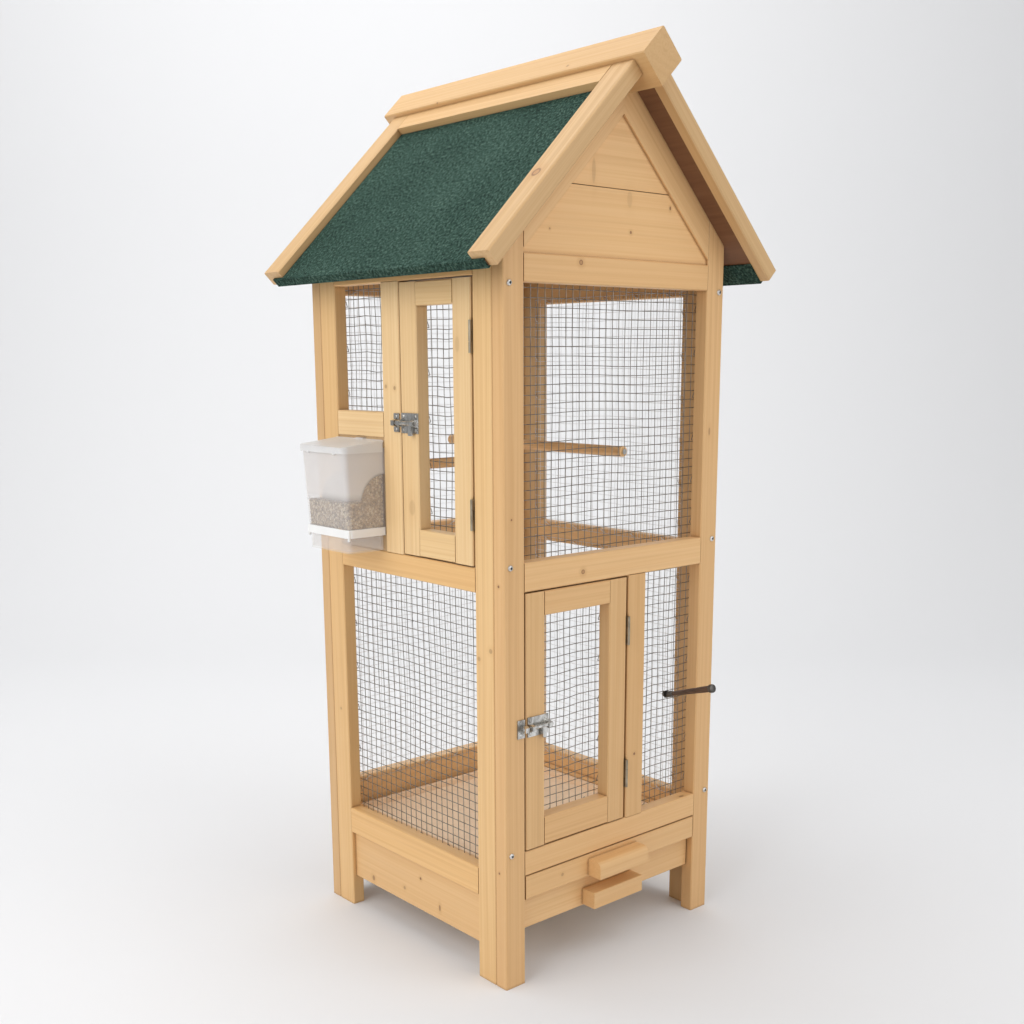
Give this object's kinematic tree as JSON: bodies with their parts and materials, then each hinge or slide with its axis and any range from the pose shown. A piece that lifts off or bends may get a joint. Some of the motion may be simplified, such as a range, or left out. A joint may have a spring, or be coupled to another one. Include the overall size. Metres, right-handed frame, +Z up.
{
  "type": "bird cage",
  "caption": "Tall pine bird cage with mesh walls, a gabled felt roof, side and front doors, pull-out trays, perches and an outside seed feeder.",
  "frame": {"origin": "on the floor, under the middle of the cage's overall box", "axes": "+Z up; -Y is the front, towards the gable over the trays; -X is the wall with the feeder and the side door"},
  "size_m": [0.5656, 0.5658, 1.2897],
  "materials": {
    "pine": "planed, clear-coated",
    "plywood": "reddish sheet wood",
    "roof_felt": "mineral grit on bitumen felt",
    "galvanised_wire": "galvanised",
    "zinc": "zinc plated",
    "clear_plastic": "smoky clear",
    "white_plastic": "moulded",
    "seed": "loose mixed seed",
    "dark_wood": "dark stained",
    "dark_metal": "dark, satin"
  },
  "bodies": {
    "cage": {"frame_bolts": "zinc", "front_stiles": "pine", "front_rails": "pine", "back_stiles": "pine", "back_rails": "pine", "front_mullion": "pine", "left_stiles": "pine", "left_rails": "pine", "right_stiles": "pine", "right_rails": "pine", "base_boards": "pine", "left_door_post": "pine", "feeder_rail": "pine", "front_mesh": "galvanised_wire", "back_mesh": "galvanised_wire", "left_mesh": "galvanised_wire", "right_mesh": "galvanised_wire", "gable_boards_front": "pine", "gable_boards_back": "pine", "gable_rafters": "pine", "roof_felt_left": "roof_felt", "roof_felt_right": "roof_felt", "roof_decks": "plywood", "verge_boards": "pine", "ridge_trims": "pine", "ridge_beam": "pine", "hinge_frame_leaves": "zinc", "bolt_keepers": "zinc", "tray_runners": "pine", "feeder_board": "plywood", "feeder_hopper": "clear_plastic", "feeder_seed": "seed", "feeder_band": "white_plastic", "feeder_cup": "clear_plastic", "perch_high": "pine", "perch_screws": "zinc", "perch_low": "pine", "outside_perch": "dark_wood", "outside_perch_fittings": "dark_metal"},
    "upper_door": {"upper_door_stiles": "pine", "upper_door_rails": "pine", "upper_door_mesh": "galvanised_wire", "upper_door_hinge_leaves": "zinc", "upper_bolt_plate": "zinc"},
    "upper_bolt": {"upper_bolt_rod": "zinc"},
    "lower_door": {"lower_door_stiles": "pine", "lower_door_rails": "pine", "lower_door_mesh": "galvanised_wire", "lower_door_hinge_leaves": "zinc", "lower_bolt_plate": "zinc"},
    "lower_bolt": {"lower_bolt_rod": "zinc"},
    "upper_tray": {"upper_tray_front": "pine", "upper_tray_pan": "plywood", "upper_tray_handle": "pine"},
    "lower_tray": {"lower_tray_front": "pine", "lower_tray_pan": "plywood", "lower_tray_handle": "pine"},
    "feeder_lid": {"feeder_lid": "clear_plastic"}
  },
  "joints": [
    {"name": "upper_door_hinge", "type": "hinge", "parent": "cage", "child": "upper_door", "pos_m": [-0.21265, -0.14913, 0.601], "axis": [0, 0, 1], "range_deg": [0, 170]},
    {"name": "upper_bolt_slide", "type": "slide", "parent": "upper_door", "child": "upper_bolt", "axis": [0, 1, 0], "range_m": [0, 0.012]},
    {"name": "lower_door_hinge", "type": "hinge", "parent": "cage", "child": "lower_door", "pos_m": [0.02575, -0.21452, 0.201], "axis": [0, 0, 1], "range_deg": [0, 115]},
    {"name": "lower_bolt_slide", "type": "slide", "parent": "lower_door", "child": "lower_bolt", "axis": [-1, 0, 0], "range_m": [0, 0.012]},
    {"name": "upper_tray_slide", "type": "slide", "parent": "cage", "child": "upper_tray", "axis": [0, -1, 0], "range_m": [0, 0.36]},
    {"name": "lower_tray_slide", "type": "slide", "parent": "cage", "child": "lower_tray", "axis": [0, -1, 0], "range_m": [0, 0.36]},
    {"name": "feeder_lid_hinge", "type": "hinge", "parent": "cage", "child": "feeder_lid", "pos_m": [-0.21245, 0.05588, 0.76025], "axis": [0, 1, 0], "range_deg": [0, 75]}
  ]
}
